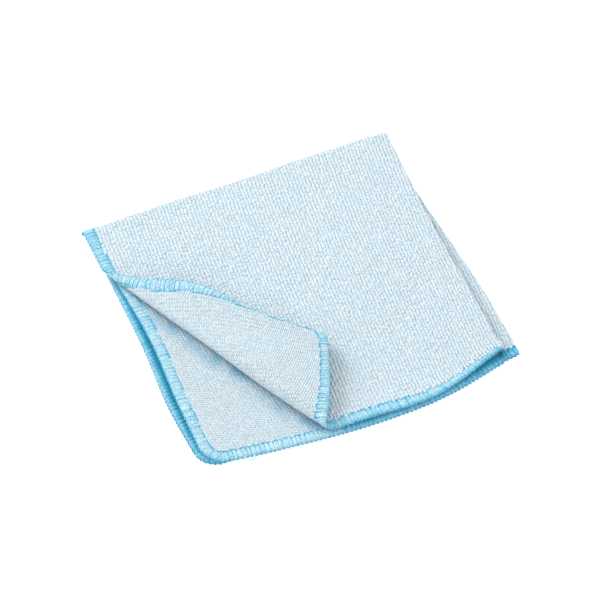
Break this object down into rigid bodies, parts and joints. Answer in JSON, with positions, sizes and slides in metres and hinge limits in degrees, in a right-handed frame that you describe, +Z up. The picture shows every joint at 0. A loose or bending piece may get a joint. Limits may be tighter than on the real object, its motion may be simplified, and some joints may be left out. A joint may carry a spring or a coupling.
{
  "type": "microfibre cloth",
  "caption": "Square terry microfibre cloth with an overlocked edge, folded in quarters, with one corner of the top layer turned back over the stack.",
  "frame": {"origin": "middle of the folded cloth's outline, on the surface that it rests on", "axes": "+X along the back fold, towards the fold at the right; +Y from the open front hems to the back fold; +Z up, through the layers"},
  "size_m": [0.1562, 0.1588, 0.0164],
  "materials": {
    "terry": "matt split-fibre terry knit, pale blue, with a mid-blue overlocked edge"
  },
  "bodies": {
    "root": {"cloth": "terry"}
  },
  "joints": []
}
